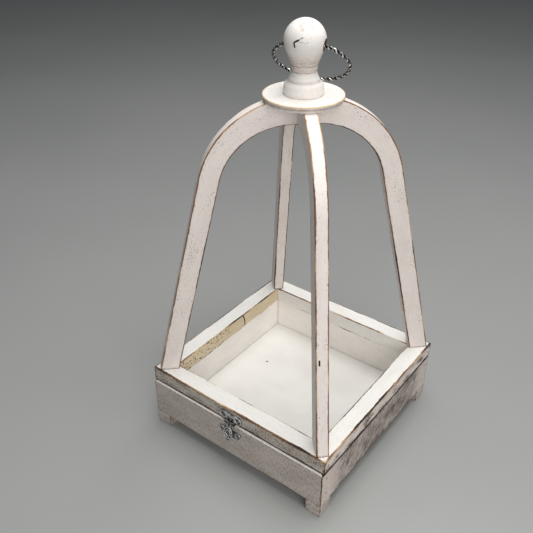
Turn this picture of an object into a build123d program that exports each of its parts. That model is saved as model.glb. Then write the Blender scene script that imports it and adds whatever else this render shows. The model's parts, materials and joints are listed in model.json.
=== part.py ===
"""Open wooden candle lantern: a footed tray, a hinged lid frame on four arched legs, a finial and a ring.

Millimetres, +Z up. The origin is the centre of the tray's footprint, on the surface it stands on.
The latch is on the front, which faces -Y, and the hinges are on the back.
"""

from build123d import *
import math
import os

# Tray: four mitred walls on four block feet, with a floor panel held in grooves.
TRAY_WIDTH = 198.6
TRAY_DEPTH = 200.0
TRAY_WALL = 16.0
TRAY_WALL_HEIGHT = 40.0
FOOT_SIDE = 16.5
FOOT_HEIGHT = 13.4
FLOOR_TOP = 19.6
FLOOR_THICK = 4.0
TONGUE_THICK = 2.0
GROOVE_DEPTH = 5.0
GROOVE_GAP = 0.4

# Lid frame: four mitred rails. Its front is set back from the tray's, and its back is flush.
LID_WIDTH = 200.0
LID_SETBACK = 1.7
RAIL_WIDTH = 16.8
RAIL_THICK = 16.2

# Arched legs: boards that stand on the lid's diagonals and meet under the cap.
LEG_THICK = 11.0
LEG_LEAN = 13.2
LEG_FOOT_REACH = 134.6
LEG_BAND = 18.0
LEG_OUTER_RADIUS = 86.0
LEG_OUTER_CROWN = 337.7
LEG_INNER_RADIUS = 61.0
LEG_UNDERSIDE = 314.4

# Cap: two round plies on the legs' flat tops, and the turned finial with its tenon.
CAP_SEAT = 333.0
LOWER_PLY_RADIUS = 32.6
LOWER_PLY_THICK = 3.0
UPPER_PLY_RADIUS = 33.2
UPPER_PLY_THICK = 2.6
TENON_RADIUS = 4.5
TENON_DEPTH = 13.0
COLLAR_RADIUS = 16.6
COLLAR_SHOULDER = 13.6
COLLAR_HEIGHT = 9.6
COVE_TOP_RADIUS = 12.8
NECK_RADIUS = 9.9
NECK_HEIGHT = 19.0
BALL_RADIUS = 16.6
BALL_HEIGHT = 41.2
BALL_JOIN_RADIUS = 14.8

# Carrying ring: a round wire ring through a cross hole in the ball.
RING_RADIUS = 31.2
RING_WIRE = 1.6
RING_HOLE_RADIUS = 4.5
RING_HOLE_Z = 377.5
RING_YAW = 19.0
RING_DROOP = 42.8

# Latch on the front: a top plate with a barrel, a swinging hasp, and a catch plate with a post.
LATCH_X = -2.0
PLATE_THICK = 1.0
PLATE_HALF = 12.5
PLATE_LOBE = 4.1
BARREL_RADIUS = 1.5
BARREL_LENGTH = 11.0
BARREL_RISE = 1.6
BARREL_OUT = 2.3
HASP_KNUCKLE = 5.4
HASP_LENGTH = 19.0
HASP_HALF_WIDTH = 5.4
HASP_HALF_HEIGHT = 6.6
HASP_TIP_RADIUS = 2.2
HASP_AJAR = 10.0
POST_SIDE = 2.6
POST_OUT = 1.4
POST_DROP = 9.0
LATCH_PIN_RADIUS = 0.6

# Butt hinges on the back.
HINGE_X = 55.0
HINGE_WIDTH = 22.0
LEAF_HEIGHT = 12.0
LEAF_THICK = 1.0
KNUCKLE_RADIUS = 2.0
KNUCKLE_OUT = 2.1
KNUCKLE_LENGTH = 7.2
HINGE_PIN_RADIUS = 0.8
LEAF_EDGE_GAP = 0.3
RUNNING_GAP = 0.05
AXIAL_GAP = 0.2

# A cutting tool runs past the surface it opens by this much.
OVERCUT = 1.0

# Fasteners. Heights are measured from the seam between tray and lid, or from the tray's lower edge.
BRAD_RADIUS = 0.7
BRAD_HEAD_RADIUS = 1.4
MITRE_BRAD_LENGTH = 28.0
MITRE_BRAD_HEAD = 1.05
TRAY_BRAD_RISE = 12.0
TRAY_BRAD_DROP = 9.0
LID_BRAD_INSET = 6.0
LID_BRAD_RISE = 8.0
FOOT_BRAD_LENGTH = 20.0
FOOT_BRAD_SINK = 1.5
DISC_BRAD_LENGTH = 13.0
DISC_BRAD_INSET = 10.0
NAIL_LENGTH = 6.0
PLATE_NAIL_X = 8.6
PLATE_NAIL_RISE = 7.3
CATCH_NAIL_X = 9.4
CATCH_NAIL_DROP = 10.2
LEAF_SCREW_X = 7.0
LEAF_SCREW_Z = 7.5
LEAF_SCREW_RADIUS = 0.8
LEAF_SCREW_HEAD = 1.7
LEAF_SCREW_LENGTH = 9.0
LEG_SCREW_RADIUS = 1.5
LEG_SCREW_HEAD = 3.0
LEG_SCREW_LENGTH = 38.0
LEG_SCREW_SINK = 0.5

SEAM = FOOT_HEIGHT + TRAY_WALL_HEIGHT
LID_TOP = SEAM + RAIL_THICK
LID_FRONT = -TRAY_DEPTH / 2 + LID_SETBACK
LID_BACK = TRAY_DEPTH / 2
LID_MID = (LID_FRONT + LID_BACK) / 2
CAP_MID = CAP_SEAT + LOWER_PLY_THICK
CAP_TOP = CAP_MID + UPPER_PLY_THICK
BALL_Z = CAP_TOP + BALL_HEIGHT
HINGE_Y = LID_BACK + KNUCKLE_OUT
BARREL_Y = LID_FRONT - BARREL_OUT
BARREL_Z = SEAM + BARREL_RISE


def block(x0, x1, y0, y1, z0, z1):
    """A box between two corners."""
    return Pos((x0 + x1) / 2, (y0 + y1) / 2, (z0 + z1) / 2) * Box(x1 - x0, y1 - y0, z1 - z0)


def rod(start, direction, radius, length):
    """A cylinder that starts at a point and runs along a direction."""
    return Plane(origin=start, z_dir=direction) * Cylinder(
        radius, length, align=(Align.CENTER, Align.CENTER, Align.MIN)
    )


def save(node, *solids):
    """Write one node, as a single solid or as a group of separate ones."""
    shape = solids[0] if len(solids) == 1 else Compound(children=list(solids))
    export_step(shape, f"parts/{node}.step")


def countersunk(start, direction, shaft, head, length):
    """A nail or screw with a conical head, whose flat top is at the start point."""
    taper = head - shaft
    cone = Plane(origin=start, z_dir=direction) * Cone(
        head, shaft, taper, align=(Align.CENTER, Align.CENTER, Align.MIN)
    )
    return cone + rod(start, direction, shaft, length)


def mitred_frame(x_half, y_front, y_back, width, z0, z1):
    """The four mitred boards of a rectangular frame, as front, back, left and right."""
    outline = [(-x_half, y_front), (x_half, y_front), (x_half, y_back), (-x_half, y_back)]
    inset = [
        (-x_half + width, y_front + width),
        (x_half - width, y_front + width),
        (x_half - width, y_back - width),
        (-x_half + width, y_back - width),
    ]
    boards = []
    for i in range(4):
        j = (i + 1) % 4
        face = make_face(Polyline(outline[i], outline[j], inset[j], inset[i], close=True))
        boards.append(extrude(Pos(0, 0, z0) * face, z1 - z0, dir=(0, 0, 1)))
    front, right, back, left = boards
    return {"front": front, "back": back, "left": left, "right": right}


def corners(x_half, y_front, y_back, inset):
    """The four corners of a frame, each moved inwards along both sides."""
    return {
        "front_left": (-x_half + inset, y_front + inset),
        "front_right": (x_half - inset, y_front + inset),
        "back_left": (-x_half + inset, y_back - inset),
        "back_right": (x_half - inset, y_back - inset),
    }


def cut(shape, tools):
    """Take each tool out of a shape in turn."""
    for tool in tools:
        shape = shape - tool
    return shape


def plate_nails(y_surface, offset, z):
    """The two domed nails of a latch plate, whose domes stand on the plate."""
    nails = []
    for side in (-1, 1):
        at = (LATCH_X + side * offset, y_surface - PLATE_THICK, z)
        outside = Box(3, BRAD_RADIUS, 3, align=(Align.CENTER, Align.MAX, Align.CENTER))
        dome = Pos(*at) * (Sphere(BRAD_HEAD_RADIUS) & outside)
        nails.append(dome + rod(at, (0, 1, 0), BRAD_RADIUS, NAIL_LENGTH))
    return nails


def leaf_screws(z):
    """The four countersunk screws along one height of the two hinges."""
    size = (LEAF_SCREW_RADIUS, LEAF_SCREW_HEAD, LEAF_SCREW_LENGTH)
    return [
        countersunk((x + offset, LID_BACK + LEAF_THICK, z), (0, -1, 0), *size)
        for x in (-HINGE_X, HINGE_X)
        for offset in (-LEAF_SCREW_X, LEAF_SCREW_X)
    ]


def mitre_brad(x, y, z):
    """A brad driven sideways through a mitre, from the frame's left or right face."""
    inward = (-math.copysign(1, x), 0, 0)
    return countersunk((x, y, z), inward, BRAD_RADIUS, MITRE_BRAD_HEAD, MITRE_BRAD_LENGTH)


def tray():
    """Walls, floor panel, feet and the brads that hold them."""
    x_half, y_half = TRAY_WIDTH / 2, TRAY_DEPTH / 2
    walls = mitred_frame(x_half, -y_half, y_half, TRAY_WALL, FOOT_HEIGHT, SEAM)
    inner_x, inner_y = x_half - TRAY_WALL, y_half - TRAY_WALL
    tongue_z = FLOOR_TOP - FLOOR_THICK
    groove_x, groove_y = inner_x + GROOVE_DEPTH, inner_y + GROOVE_DEPTH
    groove = block(-groove_x, groove_x, -groove_y, groove_y, tongue_z, tongue_z + TONGUE_THICK)

    reach_x, reach_y = groove_x - GROOVE_GAP, groove_y - GROOVE_GAP
    tongue = block(-reach_x, reach_x, -reach_y, reach_y, tongue_z, tongue_z + TONGUE_THICK)
    field_x, field_y = inner_x - GROOVE_GAP, inner_y - GROOVE_GAP
    floor = tongue + block(-field_x, field_x, -field_y, field_y, tongue_z, FLOOR_TOP)

    # One brad rises through each foot, sunk a little, and two cross each mitre from the side.
    foot_brads, foot_bits, corner_brads = [], [], []
    brad = (BRAD_RADIUS, BRAD_HEAD_RADIUS, FOOT_BRAD_LENGTH)
    for x, y in corners(x_half, -y_half, y_half, FOOT_SIDE / 2).values():
        foot_brads.append(countersunk((x, y, FOOT_BRAD_SINK), (0, 0, 1), *brad))
        foot_bits.append(rod((x, y, -OVERCUT), (0, 0, 1), BRAD_HEAD_RADIUS, OVERCUT + FOOT_BRAD_SINK))
    for x, y in corners(x_half, -y_half, y_half, 0).values():
        wall_middle = y - math.copysign(TRAY_WALL / 2, y)
        for z in (FOOT_HEIGHT + TRAY_BRAD_RISE, SEAM - TRAY_BRAD_DROP):
            corner_brads.append(mitre_brad(x, wall_middle, z))

    extra = {
        "front": plate_nails(-y_half, CATCH_NAIL_X, SEAM - CATCH_NAIL_DROP),
        "back": leaf_screws(SEAM - LEAF_SCREW_Z),
    }
    for side, wall in walls.items():
        save(f"{side}_wall", cut(wall, [groove, *foot_brads, *corner_brads, *extra.get(side, [])]))
    for corner, (x, y) in corners(x_half, -y_half, y_half, FOOT_SIDE / 2).items():
        half = FOOT_SIDE / 2
        foot = block(x - half, x + half, y - half, y + half, 0, FOOT_HEIGHT)
        save(f"{corner}_foot", cut(foot, foot_brads + foot_bits))
    save("floor_panel", floor)
    save("foot_brads", *foot_brads)
    save("tray_corner_brads", *corner_brads)
    save("catch_nails", *extra["front"])
    save("hinge_tray_screws", *extra["back"])


def leg_profile():
    """The outline of one leg in its own plane: distance from the cap's axis, then height.

    Each edge is a leaning straight run with a tangent arc. The inner arc ends level at the underside.
    The outer arc would crown above the cap's seat, so it is cut off flat there.
    """
    lean = math.radians(LEG_LEAN)

    def tangent_run(foot_reach, radius, crown):
        """The straight run's two ends and the arc's centre, for an edge whose arc tops out at crown."""
        centre_z = crown - radius
        run = (centre_z - LID_TOP + radius * math.sin(lean)) / math.cos(lean)
        centre_r = foot_reach - radius * math.cos(lean) - run * math.sin(lean)
        end = (foot_reach - run * math.sin(lean), LID_TOP + run * math.cos(lean))
        return end, (centre_r, centre_z)

    outer_end, outer_mid = tangent_run(LEG_FOOT_REACH, LEG_OUTER_RADIUS, LEG_OUTER_CROWN)
    inner_foot = LEG_FOOT_REACH - LEG_BAND / math.cos(lean)
    inner_end, inner_mid = tangent_run(inner_foot, LEG_INNER_RADIUS, LEG_UNDERSIDE)

    seat_rise = CAP_SEAT - outer_mid[1]
    seat_reach = outer_mid[0] + math.sqrt(LEG_OUTER_RADIUS**2 - seat_rise**2)
    seat_angle = math.atan2(seat_rise, seat_reach - outer_mid[0])

    def on_arc(mid, radius, angle):
        return (mid[0] + radius * math.cos(angle), mid[1] + radius * math.sin(angle))

    outer_halfway = on_arc(outer_mid, LEG_OUTER_RADIUS, (lean + seat_angle) / 2)
    inner_halfway = on_arc(inner_mid, LEG_INNER_RADIUS, (lean + math.pi / 2) / 2)
    inner_crown = (inner_mid[0], LEG_UNDERSIDE)
    edges = [
        Line((LEG_FOOT_REACH, LID_TOP), outer_end),
        ThreePointArc(outer_end, outer_halfway, (seat_reach, CAP_SEAT)),
        Line((seat_reach, CAP_SEAT), (0, CAP_SEAT)),
        Line((0, CAP_SEAT), (0, LEG_UNDERSIDE)),
        Line((0, LEG_UNDERSIDE), inner_crown),
        ThreePointArc(inner_crown, inner_halfway, inner_end),
        Line(inner_end, (inner_foot, LID_TOP)),
        Line((inner_foot, LID_TOP), (LEG_FOOT_REACH, LID_TOP)),
    ]
    return make_face(Wire(edges))


def upper_frame():
    """Lid rails, legs, cap plies and finial, with the screws and brads that hold them."""
    rails = mitred_frame(LID_WIDTH / 2, LID_FRONT, LID_BACK, RAIL_WIDTH, SEAM, LID_TOP)
    screw_reach = LEG_FOOT_REACH - LEG_BAND / 2
    brad_reach = LOWER_PLY_RADIUS - DISC_BRAD_INSET
    screw = (LEG_SCREW_RADIUS, LEG_SCREW_HEAD, LEG_SCREW_LENGTH)
    brad = (BRAD_RADIUS, BRAD_HEAD_RADIUS, DISC_BRAD_LENGTH)
    board = extrude(Plane.XZ * leg_profile(), LEG_THICK / 2, both=True)
    hole_bottom = CAP_SEAT - TENON_DEPTH
    tenon_hole = rod((0, LID_MID, hole_bottom), (0, 0, 1), TENON_RADIUS, CAP_TOP + OVERCUT - hole_bottom)

    leg_screws, screw_bits, disc_brads, lid_brads = [], [], [], []
    legs = {}
    for corner, turn in {"front_left": 225, "front_right": 315, "back_left": 135, "back_right": 45}.items():
        out_x, out_y = math.cos(math.radians(turn)), math.sin(math.radians(turn))
        foot = (screw_reach * out_x, LID_MID + screw_reach * out_y)
        head = (brad_reach * out_x, LID_MID + brad_reach * out_y, CAP_MID)
        leg_screws.append(countersunk((*foot, SEAM + LEG_SCREW_SINK), (0, 0, 1), *screw))
        bit_start = (*foot, SEAM - OVERCUT)
        screw_bits.append(rod(bit_start, (0, 0, 1), LEG_SCREW_HEAD, OVERCUT + LEG_SCREW_SINK))
        disc_brads.append(countersunk(head, (0, 0, -1), *brad))
        # The mitred inner end fills one quarter of the plan.
        quarter = block(0, LEG_FOOT_REACH, 0, LEG_FOOT_REACH, 0, CAP_TOP)
        standing = (Rot(0, 0, 45) * board) & quarter
        legs[corner] = Pos(0, LID_MID, 0) * Rot(0, 0, turn - 45) * standing
    for x, y in corners(LID_WIDTH / 2, LID_FRONT, LID_BACK, 0).values():
        lid_brads.append(mitre_brad(x, y - math.copysign(LID_BRAD_INSET, y), SEAM + LID_BRAD_RISE))

    extra = {
        "front": plate_nails(LID_FRONT, PLATE_NAIL_X, SEAM + PLATE_NAIL_RISE),
        "back": leaf_screws(SEAM + LEAF_SCREW_Z),
    }
    for side, rail in rails.items():
        save(f"lid_{side}_rail", cut(rail, [*leg_screws, *screw_bits, *lid_brads, *extra.get(side, [])]))
    for corner, leg in legs.items():
        save(f"{corner}_leg", cut(leg, [*leg_screws, *disc_brads, tenon_hole]))
    save("latch_plate_nails", *extra["front"])
    save("hinge_lid_screws", *extra["back"])

    centre = Pos(0, LID_MID, 0)
    bottom_up = (Align.CENTER, Align.CENTER, Align.MIN)
    lower_ply = centre * Pos(0, 0, CAP_SEAT) * Cylinder(LOWER_PLY_RADIUS, LOWER_PLY_THICK, align=bottom_up)
    upper_ply = centre * Pos(0, 0, CAP_MID) * Cylinder(UPPER_PLY_RADIUS, UPPER_PLY_THICK, align=bottom_up)
    save("lower_cap_disc", cut(lower_ply, [tenon_hole, *disc_brads]))
    save("upper_cap_disc", upper_ply - tenon_hole)
    save("finial", finial())
    save("leg_screws", *leg_screws)
    save("cap_disc_brads", *disc_brads)
    save("lid_corner_brads", *lid_brads)


def ring_hole_axis():
    """The direction of the cross hole through the ball."""
    yaw = math.radians(RING_YAW)
    return (math.cos(yaw), math.sin(yaw), 0)


def finial():
    """The turned finial: a base collar, a cove, a neck and a ball, with a tenon below."""
    # A vertex or an arc's middle, from the tenon's foot up to the top of the ball.
    tenon_foot = CAP_SEAT - TENON_DEPTH
    collar_foot = (COLLAR_RADIUS, CAP_TOP)
    collar_bulge = (COLLAR_RADIUS - 0.7, CAP_TOP + COLLAR_HEIGHT / 2)
    collar_top = (COLLAR_SHOULDER, CAP_TOP + COLLAR_HEIGHT)
    cove_top = (COVE_TOP_RADIUS, CAP_TOP + COLLAR_HEIGHT + 0.8)
    cove_middle = (NECK_RADIUS + 0.7, CAP_TOP + (COLLAR_HEIGHT + 0.8 + NECK_HEIGHT) / 2 + 0.3)
    neck = (NECK_RADIUS, CAP_TOP + NECK_HEIGHT)
    cup_middle = (NECK_RADIUS + 2.6, CAP_TOP + NECK_HEIGHT + 8.8)
    ball_join = (BALL_JOIN_RADIUS, BALL_Z - math.sqrt(BALL_RADIUS**2 - BALL_JOIN_RADIUS**2))
    ball_top = (0, BALL_Z + BALL_RADIUS)
    edges = [
        Line((0, tenon_foot), (TENON_RADIUS, tenon_foot)),
        Line((TENON_RADIUS, tenon_foot), (TENON_RADIUS, CAP_TOP)),
        Line((TENON_RADIUS, CAP_TOP), collar_foot),
        ThreePointArc(collar_foot, collar_bulge, collar_top),
        Line(collar_top, cove_top),
        ThreePointArc(cove_top, cove_middle, neck),
        ThreePointArc(neck, cup_middle, ball_join),
        ThreePointArc(ball_join, (BALL_RADIUS, BALL_Z), ball_top),
        Line(ball_top, (0, tenon_foot)),
    ]
    turned = Pos(0, LID_MID, 0) * revolve(Plane.XZ * make_face(Wire(edges)), Axis.Z)
    ax, ay, _ = ring_hole_axis()
    reach = BALL_RADIUS + OVERCUT
    start = (-reach * ax, LID_MID - reach * ay, RING_HOLE_Z)
    return turned - rod(start, (ax, ay, 0), RING_HOLE_RADIUS, 2 * reach)


def ring():
    """The carrying ring, hanging back and down, with its wire centred in the hole's width."""
    ax, ay, _ = ring_hole_axis()
    droop = math.radians(RING_DROOP)
    down = (-ay * math.cos(droop), ax * math.cos(droop), -math.sin(droop))
    # Inside the ball the wire bows by this much, so half of it lies on each side of the hole's axis.
    bow = RING_RADIUS - math.sqrt(RING_RADIUS**2 - BALL_RADIUS**2)
    reach = RING_RADIUS - bow / 2
    centre = (down[0] * reach, LID_MID + down[1] * reach, RING_HOLE_Z + down[2] * reach)
    normal = Vector(ax, ay, 0).cross(Vector(*down))
    save("carrying_ring", Plane(origin=centre, z_dir=normal) * Torus(RING_RADIUS, RING_WIRE))


def lobed_plate(half_width, low, high, waist_low, waist_high, hole_x):
    """A plate's outline in X and Z: two round lobes with a nail hole each, and a bridge between."""
    lobe = (high - low) / 2
    centre_x = half_width - lobe
    middle = (low + high) / 2
    shape = Pos(0, (waist_low + waist_high) / 2) * Rectangle(2 * centre_x, waist_high - waist_low)
    for side in (-1, 1):
        shape = shape + Pos(side * centre_x, middle) * Circle(lobe)
    for side in (-1, 1):
        shape = shape - Pos(side * hole_x, middle) * Circle(BRAD_RADIUS)
    return shape


def on_front(outline, y_surface, z_origin):
    """Lay a plate's outline on a surface that faces the front, with its thickness outwards."""
    plane = Plane(origin=(LATCH_X, y_surface, z_origin), x_dir=(1, 0, 0), z_dir=(0, -1, 0))
    return extrude(plane * outline, PLATE_THICK)


def barrel(x0, x1, radius):
    """A length of the latch's barrel, bore or pin, measured from the latch's middle."""
    return rod((LATCH_X + x0, BARREL_Y, BARREL_Z), (1, 0, 0), radius, x1 - x0)


def latch():
    """Top plate, pin, hasp and catch plate."""
    half, knuckle = BARREL_LENGTH / 2, HASP_KNUCKLE / 2
    low, high = PLATE_NAIL_RISE - PLATE_LOBE, PLATE_NAIL_RISE + PLATE_LOBE
    outline = lobed_plate(PLATE_HALF, low, high, low + 0.4, high - 1, PLATE_NAIL_X)
    top = on_front(outline, LID_FRONT, SEAM)
    for x0, x1 in ((-half, -knuckle - AXIAL_GAP), (knuckle + AXIAL_GAP, half)):
        strap = block(x0, x1, LID_FRONT - PLATE_THICK, LID_FRONT, BARREL_Z, SEAM + PLATE_NAIL_RISE)
        neck = block(x0, x1, BARREL_Y, LID_FRONT - PLATE_THICK, BARREL_Z, BARREL_Z + BARREL_RADIUS)
        top = top + Pos(LATCH_X, 0, 0) * (strap + neck) + barrel(x0, x1, BARREL_RADIUS)
    save("latch_top_plate", top - barrel(-half - OVERCUT, half + OVERCUT, LATCH_PIN_RADIUS))
    save("latch_pin", barrel(-half, half, LATCH_PIN_RADIUS))
    save("latch_hasp", hasp())

    low, high = -CATCH_NAIL_DROP - PLATE_LOBE, -CATCH_NAIL_DROP + PLATE_LOBE
    outline = lobed_plate(PLATE_HALF, low, high, low - 1, high - 0.4, CATCH_NAIL_X)
    front = -TRAY_DEPTH / 2 - PLATE_THICK
    side, post_z = POST_SIDE / 2, SEAM - POST_DROP
    post = block(LATCH_X - side, LATCH_X + side, front - POST_OUT, front, post_z - side, post_z + side)
    save("latch_catch_plate", on_front(outline, -TRAY_DEPTH / 2, SEAM) + post)


def hasp():
    """The hasp: a knuckle on the pin and a tongue with a window for the post, hanging ajar."""
    knuckle = HASP_KNUCKLE / 2
    window_drop = POST_DROP + BARREL_RISE
    neck = window_drop - HASP_HALF_HEIGHT / 2
    shape = Pos(0, -neck / 2) * Rectangle(HASP_KNUCKLE, neck)
    shape = shape + Pos(0, -window_drop) * Ellipse(HASP_HALF_WIDTH, HASP_HALF_HEIGHT)
    shape = shape + Pos(0, -HASP_LENGTH + HASP_TIP_RADIUS) * Circle(HASP_TIP_RADIUS)
    shape = shape - Pos(0, -window_drop) * Rectangle(POST_SIDE + 1, POST_SIDE + 1.4)
    web_back = BARREL_Y - BARREL_RADIUS + PLATE_THICK
    closed = on_front(shape, web_back, BARREL_Z) + barrel(-knuckle, knuckle, BARREL_RADIUS)
    closed = closed - barrel(-knuckle - OVERCUT, knuckle + OVERCUT, LATCH_PIN_RADIUS + RUNNING_GAP)
    return closed.rotate(Axis((LATCH_X, BARREL_Y, BARREL_Z), (1, 0, 0)), -HASP_AJAR)


def hinges():
    """Two butt hinges on the back face: a tray leaf with two knuckles, a lid leaf with one, and a pin."""
    half = HINGE_WIDTH / 2
    middle = KNUCKLE_LENGTH / 2
    clear = KNUCKLE_RADIUS + LEAF_EDGE_GAP
    leaf_out = LID_BACK + LEAF_THICK

    def knuckle(x0, x1, radius):
        return rod((x0, HINGE_Y, SEAM), (1, 0, 0), radius, x1 - x0)

    for side, x in (("left", -HINGE_X), ("right", HINGE_X)):
        low, high = x - half, x + half
        mid_low, mid_high = x - middle, x + middle
        tray_leaf = block(low, high, LID_BACK, leaf_out, SEAM - LEAF_HEIGHT, SEAM - clear)
        for x0, x1 in ((low, mid_low - AXIAL_GAP), (mid_high + AXIAL_GAP, high)):
            tray_leaf = tray_leaf + block(x0, x1, LID_BACK, leaf_out, SEAM - clear, SEAM)
            tray_leaf = tray_leaf + knuckle(x0, x1, KNUCKLE_RADIUS)
        lid_leaf = block(low, high, LID_BACK, leaf_out, SEAM + clear, SEAM + LEAF_HEIGHT)
        lid_leaf = lid_leaf + block(mid_low, mid_high, LID_BACK, leaf_out, SEAM, SEAM + clear)
        lid_leaf = lid_leaf + knuckle(mid_low, mid_high, KNUCKLE_RADIUS)
        past = (low - OVERCUT, high + OVERCUT)
        tray_leaf = tray_leaf - knuckle(*past, HINGE_PIN_RADIUS)
        lid_leaf = lid_leaf - knuckle(*past, HINGE_PIN_RADIUS + RUNNING_GAP)

        save(f"{side}_hinge_tray_leaf", cut(tray_leaf, leaf_screws(SEAM - LEAF_SCREW_Z)))
        save(f"{side}_hinge_lid_leaf", cut(lid_leaf, leaf_screws(SEAM + LEAF_SCREW_Z)))
        save(f"{side}_hinge_pin", knuckle(low, high, HINGE_PIN_RADIUS))


os.makedirs("parts", exist_ok=True)
tray()
upper_frame()
ring()
latch()
hinges()
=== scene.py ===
"""The looks of a white-washed wooden candle lantern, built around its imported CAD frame.

Shapes are in millimetres until a mesh is made, and lengths in the materials are in metres.
"""

import json
import math

import bmesh
import bpy
from mathutils import Matrix, Vector, noise


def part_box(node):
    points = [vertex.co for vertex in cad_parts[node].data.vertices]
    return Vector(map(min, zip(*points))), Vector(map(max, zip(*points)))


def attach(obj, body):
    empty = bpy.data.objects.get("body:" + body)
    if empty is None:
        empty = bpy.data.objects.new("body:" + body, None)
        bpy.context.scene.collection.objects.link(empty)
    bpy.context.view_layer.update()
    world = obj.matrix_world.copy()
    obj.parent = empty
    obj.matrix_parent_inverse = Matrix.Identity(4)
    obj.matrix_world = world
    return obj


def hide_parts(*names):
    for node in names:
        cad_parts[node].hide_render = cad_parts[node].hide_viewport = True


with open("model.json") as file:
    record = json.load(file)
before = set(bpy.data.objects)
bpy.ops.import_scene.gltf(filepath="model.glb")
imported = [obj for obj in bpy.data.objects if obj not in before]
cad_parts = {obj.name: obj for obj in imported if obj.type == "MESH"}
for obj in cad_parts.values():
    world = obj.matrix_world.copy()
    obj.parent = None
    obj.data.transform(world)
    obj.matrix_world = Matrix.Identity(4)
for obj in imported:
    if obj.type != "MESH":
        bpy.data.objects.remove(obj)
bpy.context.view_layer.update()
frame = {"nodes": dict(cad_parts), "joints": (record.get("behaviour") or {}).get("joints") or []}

MM = 0.001

# How finely the meshes are cut: round a worn arris, from an arris to the first cut in the flat face
# beside it, from section to section along a board, round the worn corner at a board's end, and round a
# wire or a bead. Points closer than WELD become one.
ARC_STEPS = 3
SUPPORT = 2.4
STATION = 2.4
CORNER_STOPS = (0.293, 0.45, 0.65, 0.85, 1.0)
ROUND = [2 * math.pi * k / 8 for k in range(8)]
WELD = 0.004

CORNER_ARRIS = 0.5
FOOT_ARRIS = 0.7
FOOT_ROUND = 0.8
LEG_ARRIS = 0.6

LEG_THICK = 11.0
LEG_LEAN = math.radians(13.2)
LEG_FOOT_REACH = 134.6
LEG_BAND = 18.0
LEG_OUTER_RADIUS = 86.0
LEG_OUTER_CROWN = 337.7
LEG_INNER_RADIUS = 61.0
LEG_UNDERSIDE = 314.4

RING_RADIUS = 31.2
RING_WIRE = 1.6
STRAND = 0.86
TWISTS = 27
SECTIONS_PER_TWIST = 13
RING_HOLE_RADIUS = 4.5
BALL_RADIUS = 16.6


def box_mm(node):
    """A CAD node's lowest and highest corners, in millimetres."""
    low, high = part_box(node)
    return low / MM, high / MM


FRONT_WALL_LOW, FRONT_WALL_HIGH = box_mm("front_wall")
FRONT_RAIL_LOW, FRONT_RAIL_HIGH = box_mm("lid_front_rail")
LID_BACK = box_mm("lid_back_rail")[1].y
LID_MID = (FRONT_RAIL_LOW.y + LID_BACK) / 2
LID_TOP = FRONT_RAIL_HIGH.z
SEAM = FRONT_WALL_HIGH.z
CAP_SEAT = box_mm("lower_cap_disc")[0].z
CAP_JOINT = box_mm("upper_cap_disc")[0].z
CAP_TOP = box_mm("upper_cap_disc")[1].z
BALL_Z = box_mm("finial")[1].z - BALL_RADIUS
AXIS = Vector((0, LID_MID, 0))
UP = Vector((0, 0, 1))

joints = {joint["name"]: joint for joint in frame["joints"]}
ring_low, ring_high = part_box("carrying_ring")
ring_centre = (ring_low + ring_high) / 2
ring_axis = Vector(joints["ring_swing"]["axis"]).normalized()
ring_pivot = Vector(joints["ring_swing"]["pos_m"])


# Meshes
#
# The materials read these values from a piece's points:
#   edge    the distance from the nearest worn arris, in metres
#   rub     how much paint that arris has lost
#   tan     how light the wood under it is
#   grain   the point along, into and up the piece
#   stain   how readily small specks show; it is 1 near a board's ends, where saw marks fade
#   rough   1 on the rough outer face
#   coarse  how coarsely that face was sawn
#   bare    1 on an unpainted face
#   joint   1 along a mitre
#   grime  how much soiling has collected, and painted shade under the finial's ball
#   recess  how deep a point lies in the metal's relief


def wander(point, size, seed=0.0):
    """Smooth noise from -1 to 1 that changes over about that many millimetres."""
    return noise.noise(Vector(point) / size + Vector((seed, 2 * seed, 0)))


def arris(point, base):
    """How far an arris is worn round at a point: mostly base, with long dents and a few small chips."""
    least, most = 0.25, 1.7
    dent_length, chip_length = 24, 3.6
    dents = 0.3 * base * wander(point, dent_length)
    chip = max(0.0, wander(point, chip_length, 40) - 0.40) * 3.4
    return min(most, max(least, base + dents + chip))


def add_object(name, data):
    """An object in the scene."""
    thing = bpy.data.objects.new(name, data)
    bpy.context.scene.collection.objects.link(thing)
    return thing


def piece(name, points, faces, values, body, slot, replaced, material, wear_depth=0.1):
    """A mesh from points in millimetres, with one value per point for each attribute its material reads.
    Its surface is worn in by up to wear_depth, unevenly."""
    mesh = bpy.data.meshes.new(name)
    mesh.from_pydata([Vector(p) * MM for p in points], [], faces)
    for key, numbers in values.items():
        kind = "FLOAT_VECTOR" if key == "grain" else "FLOAT"
        attribute = mesh.attributes.new(key, kind, "POINT")
        if key == "grain":
            attribute.data.foreach_set("vector", [n * MM for v in numbers for n in v])
        else:
            attribute.data.foreach_set("value", numbers)
    work = bmesh.new()
    work.from_mesh(mesh)
    bmesh.ops.remove_doubles(work, verts=work.verts, dist=WELD * MM)
    bmesh.ops.recalc_face_normals(work, faces=work.faces)
    work.normal_update()
    for vert in work.verts:
        hollow = 0.5 + 0.5 * wander(vert.co / MM, 11, 7)
        vert.co -= vert.normal * wear_depth * hollow * MM
    for face in work.faces:
        face.smooth = True
    work.to_mesh(mesh)
    work.free()
    mesh.materials.append(material)
    thing = add_object(name, mesh)
    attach(thing, body)
    if replaced:
        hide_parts(*replaced)
    return thing


def flatten_shading(thing):
    """Keep broad faces flat between rounded arrises."""
    weighted = thing.modifiers.new("weighted", "WEIGHTED_NORMAL")
    weighted.weight = 100
    return thing


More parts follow.
